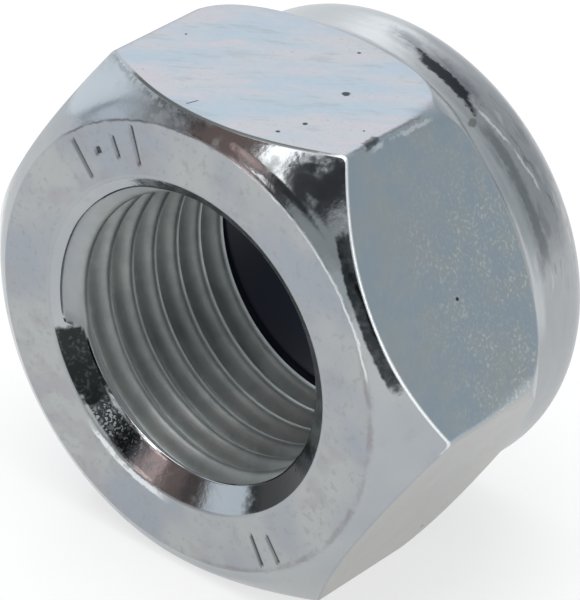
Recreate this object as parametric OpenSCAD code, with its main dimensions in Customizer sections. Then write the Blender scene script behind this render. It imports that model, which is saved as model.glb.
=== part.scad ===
// Prevailing-torque hexagon nut: a steel body whose collar is rolled over a plastic locking ring.
// The nut lies on one of its flats. +Y runs along the thread, from the bearing face to the
// collar, +Z is up, and the origin is on the surface below, halfway along the nut.

/* [Hexagon] */
// Width across the flats
across_flats = 30; // [28:0.1:34]
// Height of the nut, from the bearing face to the top of the collar
nut_h = 20; // [18:0.1:24]
// Height of the hexagon, measured in the middle of a flat
hex_h = 13.6; // [11:0.1:15]
// How far each rounded corner stays short of the sharp one
corner_relief = 0.08; // [0.02:0.01:0.8]

/* [Chamfer and shoulder] */
// How far the front chamfer, run on to the bearing face, meets it inside the flats
face_inset = 0.55; // [0.3:0.05:2]
// Angle of the front chamfer, from the bearing face
front_angle = 47; // [30:1:60]
// Round edge between the bearing face and the front chamfer
face_edge_r = 1; // [0.2:0.05:1.5]
// Radius of the round shoulder that ends the hexagon at the collar
shoulder_r = 5.25; // [4:0.05:8]

/* [Thread] */
// Nominal diameter of the thread
thread_d = 20; // [16:0.1:21]
// Pitch of the thread
thread_pitch = 2; // [1:0.25:2.5]
// How far the mouth of the countersink lies outside the thread
mouth_inset = 0.55; // [0.2:0.01:1.2]
// Included angle of the countersink
countersink_angle = 110; // [90:1:130]

/* [Collar] */
// How far the side of the collar lies inside the flats
collar_inset = 0.25; // [0.1:0.05:1]
// Wall of the collar, and of the lip that is rolled over the ring
collar_wall = 1.3; // [0.8:0.05:1.8]
// Outer radius of the rolled edge
crimp_r = 2.7; // [2:0.1:3.5]
// Reach of the lip past the end of its bend, up to its round nose
lip_reach = 0.2; // [0.1:0.05:0.7]
// Hollow fillet where the collar grows out of the hexagon
collar_fillet = 1.2; // [0.5:0.1:2]

/* [Locking ring] */
// Thickness of the ring
ring_h = 4.7; // [3.5:0.1:5.5]
// How far the bore of the ring reaches inside the thread, to grip the bolt
ring_grip = 0.7; // [0.3:0.05:1]
// Bevel at both ends of the bore of the ring
ring_bevel = 0.4; // [0.1:0.05:0.8]
// Clearance between the ring and the wall that holds it
ring_gap = 0.05; // [0.02:0.01:0.2]

/* [Hidden] */
$fn = 96;

zinc = [0.72, 0.75, 0.78];
navy = [0.06, 0.07, 0.13];

flat_r = across_flats / 2;
sharp_r = flat_r / cos(30);
corner_r = sharp_r - corner_relief;
face_r = flat_r - face_inset;

// An internal thread is as deep as five eighths of the triangle on its pitch.
thread_depth = 5 / 8 * cos(30) * thread_pitch;
bore_r = thread_d / 2 - thread_depth;
mouth_r = thread_d / 2 + mouth_inset;
mouth_h = (mouth_r - bore_r) / tan(countersink_angle / 2);

collar_r = flat_r - collar_inset;
// The shoulder's arc leaves the corners straight and crosses the flats' middle at hex_h.
shoulder_mid_r = corner_r - shoulder_r;
shoulder_mid_z = hex_h - sqrt(pow(shoulder_r, 2) - pow(flat_r - shoulder_mid_r, 2));
collar_z = shoulder_mid_z + sqrt(pow(shoulder_r, 2) - pow(collar_r - shoulder_mid_r, 2));
recess_r = collar_r - collar_wall;
bend_r = collar_r - crimp_r;
bend_z = nut_h - crimp_r;
inner_bend_r = crimp_r - collar_wall;
lip_r = bend_r - lip_reach;
lip_z = nut_h - collar_wall;

ring_r = recess_r - ring_gap;
ring_bore_r = thread_d / 2 - ring_grip;
ring_top = lip_z - ring_gap;
seat_z = ring_top - ring_h;

// Cutting shapes run this far past the faces that they open.
past = 1;

// Lays an upright nut, bearing face down, on the flat that then faces the ground.
module lay_on_flat() {
    translate([0, -nut_h / 2, flat_r])
        rotate([-90, 0, 0])
            children();
}

// Half section of the solid stub: bearing face, round edge, front chamfer, corners and round
// shoulder. The round edge is an arc tangent to the face and to the chamfer.
module stub_section() {
    edge_back = face_edge_r * tan(front_angle / 2);
    edge_out = edge_back * cos(front_angle);
    edge_up = edge_back * sin(front_angle);
    translate([face_r - edge_back, face_edge_r])
        circle(face_edge_r);
    polygon([
        [0, 0],
        [face_r - edge_back, 0],
        [face_r + edge_out, edge_up],
        [corner_r, (corner_r - face_r) * tan(front_angle)],
        [corner_r, shoulder_mid_z],
        [shoulder_mid_r, shoulder_mid_z],
        [shoulder_mid_r, collar_z],
        [0, collar_z]
    ]);
    intersection() {
        translate([shoulder_mid_r, shoulder_mid_z])
            circle(shoulder_r);
        square([corner_r, collar_z]);
    }
}

// Half section of the hollow fillet in the angle between shoulder and collar. Its arc touches
// the collar's side and the shoulder's arc, where the two arcs' centres and foot are in line.
module fillet_section() {
    reach = shoulder_r + collar_fillet;
    out_r = collar_r + collar_fillet - shoulder_mid_r;
    top_z = shoulder_mid_z + sqrt(pow(reach, 2) - pow(out_r, 2));
    foot_r = shoulder_mid_r + out_r * shoulder_r / reach;
    foot_z = shoulder_mid_z + (top_z - shoulder_mid_z) * shoulder_r / reach;
    difference() {
        polygon([
            [collar_r - collar_wall / 2, foot_z],
            [foot_r, foot_z],
            [collar_r, top_z],
            [collar_r - collar_wall / 2, top_z]
        ]);
        translate([collar_r + collar_fillet, top_z])
            circle(collar_fillet);
    }
}

// Half section of the collar with a full core: straight side, then the rolled edge.
module collar_section() {
    square([collar_r, bend_z]);
    square([bend_r, nut_h]);
    translate([bend_r, bend_z])
        circle(crimp_r);
}

// Half section of the countersink and of the bore that carries the thread.
module bore_section() {
    polygon([
        [0, -past],
        [mouth_r + past * tan(countersink_angle / 2), -past],
        [bore_r, mouth_h],
        [bore_r, seat_z + past],
        [0, seat_z + past]
    ]);
}

// Half section of the recess for the ring and of the opening inside the lip.
module recess_section() {
    translate([0, seat_z])
        square([recess_r, bend_z - seat_z]);
    translate([0, bend_z])
        square([bend_r, inner_bend_r]);
    translate([bend_r, bend_z])
        circle(inner_bend_r);
    difference() {
        translate([0, lip_z - past])
            square([lip_r, collar_wall + 2 * past]);
        translate([lip_r, lip_z + collar_wall / 2])
            circle(collar_wall / 2);
    }
}

// One cold-formed piece of steel: the turned outline of chamfer, shoulder and collar, cut by the
// six flats. The lip has been rolled inwards over the ring and ends in a round nose.
module nut_body() {
    color(zinc)
        lay_on_flat()
            intersection() {
                cylinder(h = nut_h, r = sharp_r, $fn = 6);
                rotate_extrude()
                    difference() {
                        union() {
                            stub_section();
                            fillet_section();
                            collar_section();
                        }
                        bore_section();
                        recess_section();
                    }
            }
}

// The plastic ring. Its front rests on the floor of the recess, and its rear edge has the
// same bend as the inside of the lip, less the clearance.
module nylon_insert() {
    color(navy)
        lay_on_flat()
            rotate_extrude() {
                translate([bend_r, bend_z])
                    circle(inner_bend_r - ring_gap);
                polygon([
                    [ring_bore_r + ring_bevel, seat_z],
                    [ring_r, seat_z],
                    [ring_r, bend_z],
                    [bend_r, ring_top],
                    [ring_bore_r + ring_bevel, ring_top],
                    [ring_bore_r, ring_top - ring_bevel],
                    [ring_bore_r, seat_z + ring_bevel]
                ]);
            }
}

nut_body();
nylon_insert();
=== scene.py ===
import math

import bpy
import numpy as np
from mathutils import Matrix, Vector


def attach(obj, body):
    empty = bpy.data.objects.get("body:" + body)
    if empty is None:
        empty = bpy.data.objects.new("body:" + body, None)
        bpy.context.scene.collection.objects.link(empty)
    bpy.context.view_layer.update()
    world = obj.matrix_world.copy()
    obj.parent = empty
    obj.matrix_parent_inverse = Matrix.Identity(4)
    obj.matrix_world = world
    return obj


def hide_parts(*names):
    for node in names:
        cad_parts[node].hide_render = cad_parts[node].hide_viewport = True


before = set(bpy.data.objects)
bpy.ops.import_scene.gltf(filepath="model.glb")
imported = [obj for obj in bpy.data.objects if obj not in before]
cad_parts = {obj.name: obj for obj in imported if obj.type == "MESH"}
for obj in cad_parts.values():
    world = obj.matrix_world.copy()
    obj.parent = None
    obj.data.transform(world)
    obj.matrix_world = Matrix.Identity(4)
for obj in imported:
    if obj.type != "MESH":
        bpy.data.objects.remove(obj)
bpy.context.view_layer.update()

# The nut body is one piece of steel, cold-formed to a hexagon with a hollow collar. Its front is
# turned to a chamfer, its bore is countersunk and tapped, and the whole piece is zinc-plated.
# Lengths are in millimetres: r from the axis, h up from the bearing face, angles from +X to +Z.
MM = 0.001
FLAT = 15.0
NUT_H = 20.0
CORNER_ROUND, REAR_ROUND = 0.52, 1.9
CHAMFER, CHAMFER_R = math.radians(47), 14.45
FACE_SLOPE, FACE_R = math.radians(28), 14.0
SLOPE_END, BLEND = 14.8, 0.1  # outer end of the low slope, and the bend from it to the chamfer
SHOULDER, SHOULDER_R, SHOULDER_H = 5.25, 11.9905, 9.298
COLLAR_R, FILLET, FILLET_H = 14.75, 1.2, 14.390
CRIMP, CRIMP_R, CRIMP_H = 2.7, 12.05, 17.3
LIP_R, LIP_ROUND = 11.85, 0.65
BEND, RECESS_R = 1.4, 13.45
SEAT_H = 13.95
THREAD_R, CREST_R, PITCH = 10.0, 8.9175, 2.0
THREAD_START, GROOVE_END = 3.59, 0.46
MOUTH_R, SINK = 10.55, math.tan(math.radians(55))
EDGE, LEAN = 0.15, 0.55  # rounding of the rims, and how much fuller the rear is in two places


def turn_angles():
    """Angles round the nut. A step size is set for every direction, small over the rounded
    corners and the stamped marks, and the angles are spread so that each is one step on."""
    fine = np.linspace(0, 360, 36001)
    from_corner = np.abs((fine + 30) % 60 - 30)
    step = np.where(from_corner < 1.2, 0.24, np.where(from_corner < 3.4, 0.6, 1.8))
    marked = ((fine > 106) & (fine < 134)) | ((fine > 297) & (fine < 308))
    step = np.where(marked, np.minimum(step, 0.42), step)
    count = np.concatenate([[0], np.cumsum(0.01 / step[:-1])])
    columns = round(count[-1])
    return np.radians(np.interp(np.arange(columns) / columns * count[-1], count, fine))


def hexagon_reach(turn, rounding):
    """Distance from the axis to the side of a hexagon with rounded corners: the flat's distance
    over the cosine, or near a corner the far side of the circle that rounds it."""
    from_corner = np.abs((turn + math.pi / 6) % (math.pi / 3) - math.pi / 6)
    middle = (FLAT - rounding) / math.cos(math.pi / 6)
    off = middle * np.sin(from_corner)
    arc = middle * np.cos(from_corner) + np.sqrt(np.maximum(rounding ** 2 - off ** 2, 0))
    straight = FLAT / np.cos(math.pi / 6 - from_corner)
    touch = np.arctan2(middle * 0.5, FLAT)
    return np.where(math.pi / 6 - from_corner > touch, arc, straight)


def front_height(r):
    """Height of the front outside the bearing face: the greater of a low slope and the chamfer's
    steep one, joined by a small hyperbola."""
    low, steep = (r - FACE_R) * math.tan(FACE_SLOPE), (r - CHAMFER_R) * math.tan(CHAMFER)
    return (low + steep) / 2 + np.sqrt(((low - steep) / 2) ** 2 + BLEND ** 2)


def arc_rows(mid, radius, first, last, count):
    """Points on an arc round mid, from one angle to another, both in degrees."""
    swing = np.radians(np.linspace(first, last, count))
    return mid[0] + radius * np.cos(swing), mid[1] + radius * np.sin(swing)


def round_edge(before, corner, after, count):
    """Rows that round a corner: a parabola from one side's point to the other's, whose ends
    point at the corner."""
    share = np.linspace(0, 1, count + 2)[1:-1, None]
    return [(1 - share) ** 2 * a + 2 * share * (1 - share) * c + share ** 2 * b
            for a, c, b in zip(before, corner, after)]


def between(first, last, count):
    """Rows that go evenly from one value or row of values to another."""
    return first + (last - first) * np.linspace(0, 1, count)[:, None]


def thread_reach(turn, height):
    """Radius of a right-hand inner thread: the distance from the groove's middle gives a flat
    crest, a 60 degree side and a flat root, with both edges averaged over a short width. The
    groove runs out where its middle would come nearer than GROOVE_END to the bearing face."""
    turns = (height - THREAD_START) / PITCH + turn / (2 * math.pi)
    off = np.abs(turns - np.round(turns)) * PITCH
    middle = THREAD_START + PITCH * (np.round(turns) - turn / (2 * math.pi))
    side, soft = (0.375 * PITCH - off) / (0.3125 * PITCH), 0.34

    def area(s):
        return np.where(s < 0, 0, np.where(s < 1, s * s / 2, s - 0.5))

    depth = (area(side + soft) - area(side - soft)) / (2 * soft)
    return CREST_R + (THREAD_R - CREST_R) * depth * np.clip((middle - GROOVE_END) / 0.06, 0, 1)


turn = turn_angles()
front = hexagon_reach(turn, CORNER_ROUND)[None, :]
blunt = np.where(np.abs(np.degrees(turn + 0.5) % 360 - 58) < 50, REAR_ROUND, CORNER_ROUND)
rear = hexagon_reach(turn, blunt)[None, :]
flat_row = np.zeros_like(front)
rows = []


def add(r, h, **marks):
    """Adds rows to the body's half section, and what kind of surface they are."""
    r, h = np.broadcast_arrays(r + flat_row, h + flat_row)
    rows.append((r, h, marks))


# bearing face, its crisp outer edge and the front chamfer
mouth_h = 0.1
mouth_in = (MOUTH_R - mouth_h * SINK, mouth_h)
add(*round_edge(mouth_in, (MOUTH_R, 0), (MOUTH_R + 0.14, 0), 4), rim=1)
add(np.concatenate([[10.72, 10.85], np.linspace(11.0, 13.8, 26), [13.9]])[:, None], 0, face=1)
edge_out = FACE_R + 0.07
add(*round_edge((13.93, 0), (FACE_R, 0), (edge_out, front_height(edge_out)), 3), crease=1)
back = EDGE * math.cos(CHAMFER)
low_r = between(edge_out, SLOPE_END, 6)
add(low_r, front_height(low_r), chamfer=1)
steep_r = SLOPE_END + (front - back - SLOPE_END) * np.linspace(0, 1, 11)[1:, None] ** 1.4
add(steep_r, front_height(steep_r), chamfer=1)
front_h = front_height(front)
add(*round_edge((front - back, front_height(front - back)), (front, front_h), (front, front_h + EDGE), 4),
    rim=1)

# The turned rear outline goes from the corners over the shoulder and the fillet to the collar.
# The top and the lower right are a little fuller at the rear than the rest.
out = COLLAR_R + FILLET - SHOULDER_R
foot_angle = math.degrees(math.atan2(FILLET_H - SHOULDER_H, out))
back_r, back_h = arc_rows((SHOULDER_R, SHOULDER_H), SHOULDER, 0, foot_angle, 900)
hollow_r, hollow_h = arc_rows((COLLAR_R + FILLET, FILLET_H), FILLET, 180 + foot_angle, 180, 300)
back_r, back_h = np.concatenate([back_r, hollow_r[1:]]), np.concatenate([back_h, hollow_h[1:]])
along = np.concatenate([[0], np.cumsum(np.hypot(np.diff(back_r), np.diff(back_h)))])
from_worn = np.minimum(np.abs(np.degrees(turn) - 92), np.abs(np.degrees(turn) - 304))
worn = np.clip((46 - from_worn) / 16, 0, 1)[None]
lean = LEAN * worn * worn * (3 - 2 * worn)
meet = np.interp(rear, back_r[::-1], along[::-1])
meet_h = np.interp(meet, along, back_h) + lean
past = meet + EDGE
past_r, past_h = np.interp(past, along, back_r), np.interp(past, along, back_h) + lean
add(front + (rear - front) * np.linspace(0, 1, 15)[:, None] ** 3,
    between(front_h + EDGE, meet_h - EDGE, 15), flat=1)
add(*round_edge((rear, meet_h - EDGE), (rear, meet_h), (past_r, past_h), 4), rim=1)
rest = between(past, along[-1], 18)
add(np.interp(rest, along, back_r), np.interp(rest, along, back_h) + lean, collar=1)

# the collar, rolled over the ring, its round nose, and the recess behind it
add(COLLAR_R, between(FILLET_H + lean, CRIMP_H, 7)[1:], collar=1)
for mid, radius, first, last, count in (
        ((CRIMP_R, CRIMP_H), CRIMP, 0, 90, 14),
        ((LIP_R, NUT_H - LIP_ROUND), LIP_ROUND, 90, 270, 11),
        ((CRIMP_R, CRIMP_H), BEND, 90, 0, 7)):
    arc_r, arc_h = arc_rows(mid, radius, first, last, count)
    skip = int(radius == CRIMP)
    add(arc_r[skip:, None], arc_h[skip:, None], collar=1)
add(RECESS_R, between(CRIMP_H, SEAT_H, 4)[1:], collar=1)
add(between(RECESS_R, thread_reach(turn, SEAT_H)[None], 4)[1:-1], SEAT_H, collar=1)

# the thread and the countersink that cuts into it
bore_h = np.concatenate([np.linspace(SEAT_H, 1.2, 101), np.linspace(1.2, mouth_h, 15)[1:]])[:, None]
sink_r = MOUTH_R - bore_h * SINK
cut_r = thread_reach(turn[None], bore_h)
add(np.maximum(cut_r, sink_r), bore_h, thread=1)

r = np.concatenate([row[0] for row in rows])
h = np.concatenate([row[1] for row in rows])
kinds = {name: np.concatenate([np.full(row[0].shape, float(row[2].get(name, 0))) for row in rows])
         for name in ("face", "crease", "chamfer", "rim", "flat", "collar", "thread")}
kinds["sink"] = ((kinds["thread"] > 0) & (MOUTH_R - h * SINK >= r - 1e-6)).astype(float)
kinds["to_flat"] = np.where(kinds["chamfer"] > 0, (front - r) / math.cos(CHAMFER), 9.0)

STAMP_DEPTH = 0.18


def stamp(turn, r):
    """Depth of the stamped marks on the bearing face: short bars and a dot, whose sides are
    smooth steps of the distance outside each bar."""
    depth = np.zeros(np.broadcast(turn, r).shape)
    for at, mid, half_wide, half_long in ((109.5, 12.45, 0.05, 1.15), (131, 12.35, 0.05, 1.2),
                                          (117, 12.4, 0.05, 0.6), (124, 12.4, 0.16, 0.16),
                                          (299.5, 12.65, 0.06, 0.95), (305.5, 12.75, 0.06, 0.85)):
        across = mid * (turn - math.radians(at))
        away = np.hypot(np.maximum(np.abs(across) - half_wide, 0), np.maximum(np.abs(r - mid) - half_long, 0))
        depth = np.maximum(depth, STAMP_DEPTH * np.clip(1 - away / 0.11, 0, 1))
    return depth


stamped = kinds["face"] * stamp(turn[None], r)
h = h + stamped
kinds["stamped"] = stamped / STAMP_DEPTH


def loop_mesh(name, turn, r, h, kinds):
    """A closed ring of rows round the axis. Row and column numbers wrap, so that each face
    joins a row to the next and a column to the next."""
    count, wide = r.shape
    points = np.stack([r * np.cos(turn), h - NUT_H / 2, FLAT + r * np.sin(turn)], -1).reshape(-1, 3) * MM
    number = np.arange(count * wide).reshape(count, wide)
    up, on = np.roll(number, -1, 0), np.roll(number, -1, 1)
    faces = np.stack([number, on, np.roll(up, -1, 1), up], -1).reshape(-1, 4)
    mesh = bpy.data.meshes.new(name)
    mesh.vertices.add(len(points))
    mesh.vertices.foreach_set("co", points.ravel())
    mesh.loops.add(faces.size)
    mesh.loops.foreach_set("vertex_index", faces.ravel().astype(np.int32))
    mesh.polygons.add(len(faces))
    mesh.polygons.foreach_set("loop_start", np.arange(0, faces.size, 4, dtype=np.int32))
    for kind, value in kinds.items():
        marked = mesh.attributes.new(kind, "FLOAT", "POINT")
        marked.data.foreach_set("value", value.ravel().astype(np.float32))
    mesh.update(calc_edges=True)
    mesh.validate()
    mesh.shade_smooth()
    piece = bpy.data.objects.new(name, mesh)
    bpy.context.collection.objects.link(piece)
    return piece


nut = loop_mesh("nut_steel", turn, r, h, kinds)
nut.modifiers.new("even_normals", "WEIGHTED_NORMAL")


class Wire:
    """A socket of a node tree. Sums, products and powers of wires and numbers add Math nodes,
    and a | b is the greater of the two."""

    def __init__(self, tree, socket=None):
        self.tree, self.socket = tree, socket

    def node(self, kind, settings, inputs, out=0):
        """Adds a node with its settings, then its sockets' values or wires, and gives an output."""
        made = self.tree.nodes.new(kind)
        for name, value in settings.items():
            if name == "stops":
                while len(made.color_ramp.elements) < len(value):
                    made.color_ramp.elements.new(0.5)
                for stop, (place, colour) in zip(made.color_ramp.elements, value):
                    stop.position, stop.color = place, (*colour, 1)
            else:
                setattr(made, name, value)
        for name, value in inputs.items():
            if isinstance(value, Wire):
                value.into(made.inputs[name])
            else:
                made.inputs[name].default_value = value
        return Wire(self.tree, made.outputs[out])

    def into(self, socket):
        """Links the wire to a socket."""
        self.tree.links.new(self.socket, socket)

    def math(self, operation, first, second=0.0):
        return self.node("ShaderNodeMath", {"operation": operation}, {0: first, 1: second})

    def __add__(self, other): return self.math("ADD", self, other)
    def __radd__(self, other): return self.math("ADD", other, self)
    def __sub__(self, other): return self.math("SUBTRACT", self, other)
    def __rsub__(self, other): return self.math("SUBTRACT", other, self)
    def __mul__(self, other): return self.math("MULTIPLY", self, other)
    def __rmul__(self, other): return self.math("MULTIPLY", other, self)
    def __truediv__(self, other): return self.math("DIVIDE", self, other)
    def __pow__(self, other): return self.math("POWER", self, other)
    def __or__(self, other): return self.math("MAXIMUM", self, other)
    def __abs__(self): return self.math("ABSOLUTE", self)

    def rise(self, low, high):
        """0 below low, 1 above high, and a smooth step between."""
        return self.node("ShaderNodeMapRange", {"interpolation_type": "SMOOTHSTEP", "clamp": True},
                         {"Value": self, "From Min": low, "From Max": high})

    def within(self, low, high, soft):
        """1 between low and high, with soft sides."""
        return self.rise(low - soft, low + soft) * (1 - self.rise(high - soft, high + soft))

    def tint(self, under, over):
        """Colour under where the wire is 0, colour over where it is 1."""
        under, over = (colour if isinstance(colour, Wire) else (*colour, 1) for colour in (under, over))
        return self.node("ShaderNodeMix", {"data_type": "RGBA"}, {0: self, 6: under, 7: over}, 2)


def new_finish(name, **uniform):
    """A material with one shader, and the wire that starts its nodes. Values that are the same
    all over are set on the shader."""
    finish = bpy.data.materials.new(name)
    finish.use_nodes = True
    shader = finish.node_tree.nodes["Principled BSDF"]
    for socket, value in uniform.items():
        shader.inputs[socket.replace("_", " ")].default_value = value
    return finish, shader, Wire(finish.node_tree)


def mottle(start, place, size, detail, rough=0.55):
    """Noise from 0 to 1 whose spots are about size millimetres wide."""
    return start.node("ShaderNodeTexNoise", {}, {"Vector": place, "Scale": 1000 / size / 2,
                                                 "Detail": detail, "Roughness": rough})


def millimetres(wire):
    """Object place, and from it x, z, the height, the distance from the axis and the angle in
    degrees."""
    place = wire.node("ShaderNodeTexCoord", {}, {}, 3)
    x, y, z = (wire.node("ShaderNodeSeparateXYZ", {}, {0: place}, axis) / MM for axis in range(3))
    z = z - FLAT
    turned = wire.math("ARCTAN2", z, x) * (180 / math.pi)
    return place, x, z, y + NUT_H / 2, (x * x + z * z) ** 0.5, turned


def pit(wire, place, side, along, height, size, rough):
    """1 in a small ragged pit on a flat: the distance from its middle, less some noise."""
    side = math.radians(side)
    middle = ((FLAT * math.cos(side) - along * math.sin(side)) * MM, (height - NUT_H / 2) * MM,
              (FLAT + FLAT * math.sin(side) + along * math.cos(side)) * MM)
    away = wire.node("ShaderNodeVectorMath", {"operation": "DISTANCE"}, {0: place, 1: middle}, 1) / MM
    return 1 - (away + 0.7 * size * (rough - 0.5)).rise(size * 0.28, size * 0.5)


zinc, zinc_shader, wire = new_finish("zinc_plating", Metallic=1.0)
place, x, z, height, out_by, turned = millimetres(wire)
kind = {name: wire.node("ShaderNodeAttribute", {"attribute_name": name}, {}, 2) for name in kinds}
top_side, right_side, lower_side = (kind["flat"] * turned.within(first, first + 60, 0.6)
                                    for first in (60, 0, -60))
gloss_side = (kind["chamfer"] + kind["sink"]).rise(0, 1)

# mottling in four sizes, streaks drawn along the top flat, and streaks rolled round the collar
wide = mottle(wire, place, 3.0, 2.0)
middling = mottle(wire, place, 0.8, 3.0, 0.6)
fine = mottle(wire, place, 0.22, 2.0, 0.6)
grain = mottle(wire, place, 0.1, 1.0, 0.5)
ragged = 1.2 * (fine - 0.5) + (middling - 0.5)
drawn = wire.node("ShaderNodeMapping", {"vector_type": "TEXTURE"},
                  {"Vector": place, "Scale": (4.0, 1.0, 1.0), "Rotation": (0, 0, 0.66)})
streak = mottle(wire, drawn, 0.4, 3.0, 0.65)
band = mottle(wire, drawn, 1.1, 2.0, 0.6)
round_way = wire.node("ShaderNodeCombineXYZ", {},
                      {0: abs(turned) * (0.05 * MM), 1: height * MM, 2: z * (0.1 * MM)})
rolled = mottle(wire, round_way, 0.4, 3.0, 0.65)


def sector(first, last, soft, rough):
    """1 between two angles, with ragged ends."""
    return (turned + rough * ragged).within(first, last, soft)


def hoop(inner, outer, soft, rough):
    """1 between two distances from the axis, with ragged sides."""
    return (out_by + rough * ragged).within(inner, outer, soft)


def belt(low, high, soft, rough):
    """1 between two heights, with ragged sides."""
    return (height + rough * ragged).within(low, high, soft)


# plain plating, then the streaked top flat, painted bluish as painted light, and the speckled right flat
tone = wide.rise(0.35, 0.65).tint((0.375, 0.405, 0.43), (0.425, 0.445, 0.455))
# painted light: a bluish base on the top flat, under its drawn streaks and specks
top_streaks_and_painted_light = band.rise(0.38, 0.62).tint((0.36, 0.42, 0.475), (0.425, 0.43, 0.455))
top_streaks_and_painted_light = streak.rise(0.52, 0.70).tint(top_streaks_and_painted_light, (0.45, 0.42, 0.45))
top_streaks_and_painted_light = (streak.rise(0.32, 0.44) * -0.45 + 0.45).tint(top_streaks_and_painted_light, (0.30, 0.335, 0.35))
top_streaks_and_painted_light = (0.5 * grain.rise(0.64, 0.74) * band.rise(0.45, 0.6)).tint(top_streaks_and_painted_light, (0.22, 0.25, 0.28))
tone = top_side.tint(tone, top_streaks_and_painted_light)
right_tone = middling.rise(0.3, 0.75).tint((0.37, 0.435, 0.49), (0.41, 0.455, 0.465))
right_tone = (0.5 * wide.rise(0.45, 0.7)).tint(right_tone, (0.43, 0.445, 0.42))
speckled = (0.30 + 0.70 * middling.rise(0.40, 0.62)) * height.rise(2.5, 8) * (1 - 0.7 * turned.rise(36, 50))
right_tone = (grain.rise(0.50, 0.70) * speckled * 0.75).tint(right_tone, (0.60, 0.63, 0.61))
tone = right_side.tint(tone, right_tone)

# a bruise and a burr on the corner between these two flats, and the lower flat, painted paler and warmer as a
# painted reflection of the white floor
bruise = kind["flat"] * belt(4.8, 5.8, 0.2, 0.6) * sector(59.3, 61.3, 0.3, 1.2)
bruise = bruise + 0.5 * kind["flat"] * height.within(3.6, 9.8, 0.5) * sector(59.9, 60.5, 0.2, 1.0)
tone = (bruise * 0.8).tint(tone, (0.09, 0.10, 0.11))
burr = kind["flat"] * height.within(5.2, 10.2, 0.5) * sector(58.5, 59.3, 0.2, 1.0) * middling.rise(0.35, 0.5)
tone = (burr * 0.7).tint(tone, (0.75, 0.78, 0.79))
# painted reflection: the lower flat is painted paler and warmer, as the white floor lights it
lower_painted_reflection_tone = wide.rise(0.35, 0.65).tint((0.44, 0.445, 0.43), (0.47, 0.47, 0.45))
tone = (lower_side * 0.9).tint(tone, lower_painted_reflection_tone)

# The collar is streaked round by the rolling tool. On it are a dark streak with a halo, a low dark band, a
# broken ridge drawn as a painted highlight line with a painted shade line beside it, and a painted highlight
# in the fillet.
marks = (
    (sector(60, 86, 4, 8) * belt(16.0, 17.1, 0.4, 0.5) * rolled.rise(0.36, 0.55), 0.75,
     (0.17, 0.175, 0.20)),
    ((turned + 5 * ragged - 5 * height).within(-20.5, -3, 1.6) * belt(15.55, 16.45, 0.12, 0.45), 0.95,
     (0.02, 0.025, 0.03)),
    (sector(20, 55, 4, 6) * belt(15.3, 16.0, 0.18, 0.35), 0.62, (0.15, 0.17, 0.175)),
    # painted highlight along the ridge
    (sector(36, 58, 1.5, 2) * (height + 0.04 * turned + 0.3 * ragged).within(18.30, 18.46, 0.08)
     * rolled.rise(0.38, 0.52), 0.8, (0.85, 0.87, 0.88)),
    # painted shade beside the ridge
    (sector(30, 60, 3, 2) * (height + 0.03 * turned + 0.4 * ragged).within(18.30, 18.45, 0.10)
     * rolled.rise(0.40, 0.56), 0.6, (0.14, 0.16, 0.17)),
    # painted highlight in the fillet
    (turned.within(4, 78, 5) * height.within(13.95, 14.9, 0.25), 0.55, (0.56, 0.60, 0.61)))
streaked = turned.within(12, 64, 6)
collar_tone = (rolled.rise(0.34, 0.66) * (0.25 + 0.75 * turned.within(12, 100, 8))).tint(
    (0.37, 0.385, 0.40), (0.45, 0.46, 0.465))
collar_tone = (streaked * rolled.rise(0.52, 0.66) * 0.6).tint(collar_tone, (0.24, 0.25, 0.275))
collar_tone = (streaked * (1 - rolled.rise(0.34, 0.44)) * 0.6).tint(collar_tone, (0.58, 0.60, 0.60))
# painted light: the upper part of the collar, from 84 to 128 degrees, is painted paler
collar_tone = turned.within(84, 128, 6).tint(collar_tone, (0.50, 0.52, 0.53))
for where, amount, shade in marks:
    collar_tone = (where * amount).tint(collar_tone, shade)
tone = (kind["collar"] * height.rise(13.4, 13.9)).tint(tone, collar_tone)

# a painted dark reflection, mottled, along the chamfer's right rim
dark_reflection_tone = (0.6 * fine + 0.6 * middling - 0.1).rise(0.42, 0.68).tint(
    (0.012, 0.016, 0.018), (0.06, 0.065, 0.07))
dark_reflection = kind["chamfer"] * (kind["to_flat"] + 0.22 * ragged).within(-1, 1.0, 0.1) * sector(14, 49, 1.5, 4)
tone = (dark_reflection * 0.94).tint(tone, dark_reflection_tone)

# The countersink is darker at the lower left, spotted dark below that and dark at its right end, and painted
# highlights lie on its rims and in a spotted patch. Here the angle goes on from 180 to 360 degrees.
sink_from = (turned + 360 * (1 - turned.rise(-0.01, 0.01))) + 8 * ragged
dark_sink = kind["sink"] * (sink_from - 5 * ragged).within(197, 226, 1.0)
spotted = kind["sink"] * (sink_from - 7 * ragged).within(225, 246, 2)
spotted = spotted * (0.7 * fine + 0.3 * grain).rise(0.38, 0.50)
dark_end = kind["sink"] * sink_from.within(301, 345, 4)
sink_tone = (0.6 * fine + 0.4 * grain).rise(0.5, 0.62).tint((0.008, 0.011, 0.011), (0.05, 0.055, 0.055))
tone = (dark_sink * 0.95).tint(tone, sink_tone)
tone = (spotted * 0.85).tint(tone, (0.02, 0.022, 0.022))
tone = (dark_end * 0.95).tint(tone, (0.016, 0.018, 0.019))
# painted highlights: white glints in a patch and along the countersink's rims
sink_glints = kind["sink"] * sink_from.within(228, 250, 2) * (0.5 * fine + 0.5 * grain).rise(0.55, 0.58)
sink_rim_highlights = hoop(8.95, 9.12, 0.05, 0.2) | hoop(10.3, 10.6, 0.05, 0.2)
sink_glints = sink_glints | kind["sink"] * sink_rim_highlights * sink_from.within(224, 258, 3) * middling.rise(0.3, 0.42)
tone = (sink_glints * 0.8).tint(tone, (0.9, 0.92, 0.92))
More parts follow.
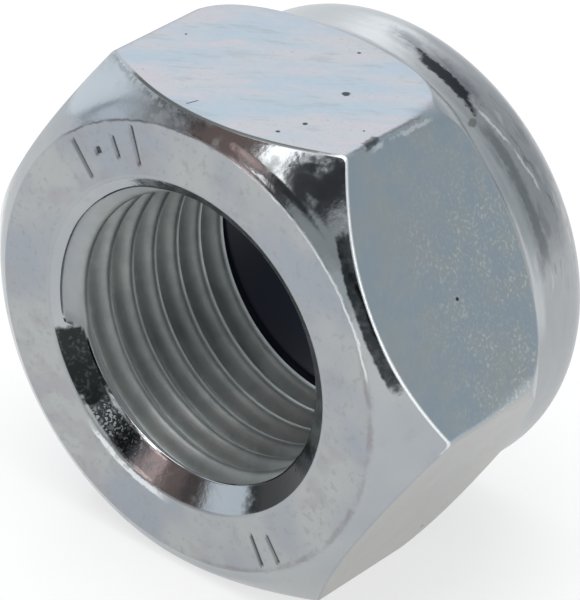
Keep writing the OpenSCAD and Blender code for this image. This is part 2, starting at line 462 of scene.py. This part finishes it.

# the mottled bearing face, with a broken line of painted shade near its edge, scratches, and painted shade in
# the stamped marks
face_tone = wide.rise(0.36, 0.64).tint((0.355, 0.385, 0.425), (0.44, 0.455, 0.455))
face_tone = (0.6 * band.rise(0.52, 0.66)).tint(face_tone, (0.36, 0.36, 0.385))
face_tone = (0.5 * fine.rise(0.56, 0.68)).tint(face_tone, (0.33, 0.345, 0.36))
tone = kind["face"].tint(tone, face_tone)
specks = 0.45 * kind["face"] * grain.rise(0.66, 0.76) * band.rise(0.4, 0.6)
tone = specks.tint(tone, (0.20, 0.22, 0.24))
# painted shade: a broken grey-brown line along the face's edge
ring_line = hoop(13.75, 14.1, 0.12, 0.3) * sector(-80, 22, 8, 10)
tone = (ring_line * middling.rise(0.3, 0.6) * 0.62).tint(tone, (0.27, 0.25, 0.265))
scratches = kind["face"] * rolled.rise(0.60, 0.72) * wide.rise(0.4, 0.6)
tone = (scratches * 0.4).tint(tone, (0.26, 0.27, 0.28))
# painted shade in the bottoms of the stamped marks
tone = (kind["stamped"].rise(0.45, 0.95) * 0.85).tint(tone, (0.05, 0.055, 0.055))

# painted highlights on edges: the bearing face's, the mouth's and the front rim of the right flat
front_rim = kind["rim"] * (1 - height.rise(4, 5)) * out_by.rise(14.2, 14.6)
edge_highlight = hoop(13.94, 14.06, 0.05, 0.14) * sector(16, 78, 3, 3)
mouth_highlight = hoop(10.56, 10.96, 0.06, 0.3) * (sink_from - 4 * ragged).within(232, 264, 4)
mouth_highlight = mouth_highlight * (0.45 + 0.55 * fine.rise(0.38, 0.5))
rim_highlight = front_rim * sector(-1, 61, 1.5, 3)
painted_highlights = edge_highlight | mouth_highlight * (1 - kind["sink"]) | rim_highlight
tone = (painted_highlights * 0.9).tint(tone, (0.82, 0.85, 0.86))

# painted shade on the rim and on the face's edge below the top flat, with darker mottled patches on the
# chamfer at its left end
# painted shade on the rim below the top flat
tone = (front_rim * sector(63, 112, 3, 4) * 0.85).tint(tone, (0.05, 0.05, 0.045))
dark_patches = kind["chamfer"] * sector(93, 122, 3, 6) * (kind["to_flat"] + 0.6 * ragged).within(-1, 0.6, 0.2)
dark_patches = dark_patches + kind["chamfer"] * sector(93, 106, 3, 6) * middling.rise(0.42, 0.56)
tone = (dark_patches * fine.rise(0.40, 0.55) * 0.45).tint(tone, (0.13, 0.145, 0.15))
# painted shade along the face's edge below the top flat
edge_shade = hoop(13.93, 14.04, 0.06, 0.16) * sector(86, 134, 6, 3) * (0.35 + 0.4 * middling.rise(0.35, 0.6))
tone = (edge_shade * (kind["crease"] + kind["face"] + kind["chamfer"])).tint(tone, (0.09, 0.085, 0.095))

# the duller thread, mottled and painted a little darker as painted shade in the bore, then the pits on the
# flats, a scratch on the top one and a dent in the collar
threaded = kind["thread"] * (1 - kind["sink"])
thread_tone_and_shade = middling.rise(0.35, 0.65).tint((0.34, 0.365, 0.36), (0.43, 0.455, 0.44))
tone = (threaded * height.rise(0.9, 1.7) * 0.8).tint(tone, thread_tone_and_shade)
pits = 0
for spot in ((90, -4.11, 8.55, 0.62), (90, -4.67, 4.23, 0.34), (90, -4.14, 2.5, 0.32),
             (90, -1.49, 12.75, 0.26), (90, 6.97, 7.36, 0.2), (90, -7.49, 5.97, 0.18),
             (30, -1.55, 7.4, 0.28), (-30, -6.3, 11, 0.3), (150, 2.5, 6, 0.3),
             (210, -3, 9.5, 0.35), (210, 4, 5, 0.25), (-90, 2, 8, 0.3)):
    pits = pits + pit(wire, place, *spot, fine)
scratch = (height - 3.25 * x).within(6.06, 6.34, 0.1) * height.within(1.25, 2.0, 0.06) * top_side
tone = (pits + scratch).tint(tone, (0.035, 0.05, 0.06))
from_dent = (((turned - 56) * 0.2575) ** 2 + ((height - 15.05) * 0.75) ** 2) ** 0.5
dent = kind["collar"] * (1 - (kind["collar"] * from_dent + 0.5 * (fine - 0.5)).rise(0.18, 0.32))
tone = (dent * 0.85).tint(tone, (0.21, 0.22, 0.205))
tone.into(zinc_shader.inputs["Base Color"])

# The chamfer and the countersink are glossy with duller patches, the collar is a little glossier
# than the flats, and the thread is duller.
satin = kind["chamfer"] * sector(91, 112, 3, 9)
gloss = 0.38 + 0.10 * (fine - 0.5) - 0.27 * gloss_side + 0.2 * gloss_side * middling.rise(0.52, 0.72)
gloss = gloss + 0.2 * satin - 0.08 * kind["collar"] + 0.16 * threaded
gloss.into(zinc_shader.inputs["Roughness"])
relief = (0.010 - 0.005 * gloss_side) * (fine - 0.5) + (0.012 + 0.02 * kind["flat"]) * (middling - 0.5)
relief = relief + 0.03 * kind["collar"] * (rolled - 0.5)
bump = wire.node("ShaderNodeBump", {}, {"Strength": 1.0, "Distance": MM, "Height": relief})
bump.into(zinc_shader.inputs["Normal"])
nut.data.materials.append(zinc)
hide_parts("nut_body")
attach(nut, "root")

# The locking ring is moulded nylon, dark navy. It was laid on the floor of the recess, and the
# rolled lip holds it. Its bore is smaller than the thread, so that it grips the bolt.
RING_R, RING_BORE, RING_BEVEL, RING_GAP = 13.40, 9.3, 0.4, 0.05
RING_TOP = NUT_H - 2 * LIP_ROUND - RING_GAP
ring_turn = np.linspace(0, 2 * math.pi, 181)[:-1]


def ring_rows():
    """Half section of the ring: floor, wall, bend, rear, bevel, bore and front bevel, with each
    edge of the bore eased."""
    bend_r, bend_h = arc_rows((CRIMP_R, CRIMP_H), BEND - RING_GAP, 0, 90, 9)
    bore = RING_BORE + RING_BEVEL
    r = np.concatenate([np.linspace(bore + 0.08, RING_R, 6), bend_r, np.linspace(CRIMP_R, bore + 0.08, 5)[1:],
                        [bore - 0.04, bore - 0.2, RING_BORE + 0.03, RING_BORE], np.full(10, RING_BORE),
                        [RING_BORE, RING_BORE + 0.03, bore - 0.2, bore - 0.04]])
    low, high = SEAT_H + RING_BEVEL, RING_TOP - RING_BEVEL
    h = np.concatenate([np.full(6, SEAT_H), bend_h, np.full(4, RING_TOP),
                        [RING_TOP - 0.04, RING_TOP - 0.2, high + 0.03, high - 0.08],
                        np.linspace(high - 0.3, low + 0.3, 10),
                        [low + 0.08, low - 0.03, SEAT_H + 0.2, SEAT_H + 0.04]])
    return r[:, None] + 0 * ring_turn, h[:, None] + 0 * ring_turn


ring = loop_mesh("nylon_ring", ring_turn, *ring_rows(), {})
ring.modifiers.new("even_normals", "WEIGHTED_NORMAL")
nylon, nylon_shader, wire = new_finish("navy_nylon", Roughness=0.4, Specular_IOR_Level=0.14)
place = wire.node("ShaderNodeTexCoord", {}, {}, 3)
tone = mottle(wire, place, 3, 3.0).tint((0.004, 0.006, 0.016), (0.007, 0.010, 0.026))
tone.into(nylon_shader.inputs["Base Color"])
ring.data.materials.append(nylon)
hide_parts("nylon_insert")
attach(ring, "root")

# The floor is a plain white sheet of paper, far wider than the nut. Camera, glossy and
# transmission rays, which are outputs 0, 3 and 6, see it nearly white, and it keeps the shadow.
mesh = bpy.data.meshes.new("floor")
mesh.from_pydata([(-2, -2, 0), (2, -2, 0), (2, 2, 0), (-2, 2, 0)], [], [(0, 1, 2, 3)])
floor = bpy.data.objects.new("floor", mesh)
bpy.context.collection.objects.link(floor)
paper, paper_shader, wire = new_finish("white_paper", Roughness=0.9)
paper_shader.inputs["Base Color"].default_value = (0.93, 0.93, 0.93, 1)
seen = wire.node("ShaderNodeLightPath", {}, {}, 0)
for ray in (3, 6):
    seen = seen | wire.node("ShaderNodeLightPath", {}, {}, ray)
glow = wire.node("ShaderNodeEmission", {}, {"Strength": 1.0})
matte = Wire(wire.tree, paper_shader.outputs[0])
sheet = wire.node("ShaderNodeMixShader", {}, {0: seen * 0.66, 1: matte, 2: glow})
sheet.into(wire.tree.nodes["Material Output"].inputs["Surface"])
mesh.materials.append(paper)

# Soft studio light comes from a broad lamp overhead, with a weak one at the back left.
def soft_lamp(name, place, aim, size, power):
    """A square lamp that faces a point."""
    lamp = bpy.data.lights.new(name, "AREA")
    lamp.shape, lamp.size, lamp.energy = "SQUARE", size, power
    body = bpy.data.objects.new(name, lamp)
    body.location = place
    body.rotation_euler = (Vector(aim) - Vector(place)).to_track_quat("-Z", "Y").to_euler()
    bpy.context.collection.objects.link(body)


middle = (0, 0, 0.015)
soft_lamp("key", (-0.52, 0.65, 0.62), middle, 0.5, 0.5)
soft_lamp("overhead", (-0.05, -0.2, 1.4), middle, 1.2, 10.0)

# The room is pale at the back and the left, brown at the front left, dark in front and grey at the
# right. The polished chamfer and the countersink mirror its panels and lamps, which are given in
# degrees: side goes from -Y to the right, lift goes up.
room = bpy.data.worlds.new("room")
bpy.context.scene.world = room
room.use_nodes = True
wire = Wire(room.node_tree)
way = wire.node("ShaderNodeTexCoord", {}, {}, 0)
east, north, high = (wire.node("ShaderNodeSeparateXYZ", {}, {0: way}, axis) for axis in range(3))
side = wire.math("ARCTAN2", east, north * -1) * (180 / math.pi)
lift = wire.math("ARCSINE", high) * (180 / math.pi)
walls = [(-180, (0.62, 0.65, 0.68)), (-150, (0.92, 0.96, 1.0)), (-95, (0.95, 0.98, 1.0)),
         (-74, (0.80, 0.85, 0.9)), (-65, (0.42, 0.44, 0.48)), (-56, (0.24, 0.25, 0.26)),
         (-46, (0.24, 0.21, 0.20)), (-38, (0.24, 0.185, 0.175)), (-24, (0.25, 0.185, 0.175)),
         (-17, (0.22, 0.165, 0.16)), (-10, (0.045, 0.045, 0.05)), (10, (0.05, 0.053, 0.058)),
         (52, (0.05, 0.053, 0.058)), (64, (0.35, 0.35, 0.36)), (135, (0.50, 0.54, 0.57)),
         (180, (0.62, 0.65, 0.68))]
wall = wire.node("ShaderNodeValToRGB", {"stops": [((a + 180) / 360, c) for a, c in walls]},
                 {0: (side + 180) / 360})
screen = side.within(24, 46, 2) * lift.within(18, 40, 3)
wall = screen.tint(wall, (0.80, 0.83, 0.84))
window = side.within(-66, -46, 3) * (1 - lift.rise(15, 26))
wall = window.tint(wall, (0.82, 0.88, 0.95))
grey_panel = side.within(-62, -50, 4) * lift.within(37, 47, 2)
wall = grey_panel.tint(wall, (0.16, 0.165, 0.17))
shade = side.within(-46, -36, 2) * lift.within(19, 31, 2)
wall = (shade * 0.7).tint(wall, (0.06, 0.055, 0.055))
low_sill = side.within(-5, 26, 2) * (1 - lift.rise(18, 23)) | side.within(9, 30, 3) * lift.within(15, 34, 3)
wall = low_sill.tint(wall, (0.46, 0.49, 0.50))
pale_sill = side.within(7, 30, 3) * (1 - lift.rise(7, 13))
wall = pale_sill.tint(wall, (0.68, 0.72, 0.73))
strip = side.within(-15, -0.5, 2) * lift.within(34, 58, 2)
low_lamp = side.within(-21, -12, 1.5) * lift.within(13.5, 20, 1.5)
rim_lamp = side.within(72, 94, 5) * (1 - lift.rise(36, 44))
lamp = strip | low_lamp | rim_lamp
wall = (lamp | lift.rise(57, 66)).tint(wall, (1.0, 1.0, 1.0))
warm_glow = side.within(-24, -9, 2) * lift.within(23, 31, 2)
strength = 1.0 + 1.6 * lamp + 0.45 * side.within(-105, -72, 8) + 0.15 * window + 2.6 * warm_glow
light = room.node_tree.nodes["Background"]
strength.into(light.inputs["Strength"])
wall.into(light.inputs["Color"])
bpy.context.scene.view_settings.view_transform = "Standard"

# The camera stands at the photo's place, found by fitting the nut's edges and grooves.
LENS, AWAY, AIM_R, AIM_U = 270.326, 17.2088, 0.4119, 0.1870
TURN, LIFT, ROLL = np.radians([38.8059, 31.6093, 3.2408])
back_way = np.array([math.sin(TURN) * math.cos(LIFT), -math.cos(TURN) * math.cos(LIFT), math.sin(LIFT)])
right_way = np.array([math.cos(TURN), math.sin(TURN), 0])
up_way = np.cross(back_way, right_way)
right_way, up_way = (right_way * math.cos(ROLL) + up_way * math.sin(ROLL),
                     -right_way * math.sin(ROLL) + up_way * math.cos(ROLL))
spot = (back_way * AWAY + right_way * AIM_R + up_way * AIM_U) * FLAT + np.array([0, -NUT_H / 2, FLAT])
lens = bpy.data.cameras.new("camera")
lens.lens, lens.sensor_width = LENS, 36
lens.clip_start, lens.clip_end = 0.01, 10
camera = bpy.data.objects.new("camera", lens)
bpy.context.collection.objects.link(camera)
stance = np.vstack([np.column_stack([right_way, up_way, back_way, spot * MM]), [0, 0, 0, 1]])
camera.matrix_world = Matrix(stance.tolist())
bpy.context.scene.camera = camera
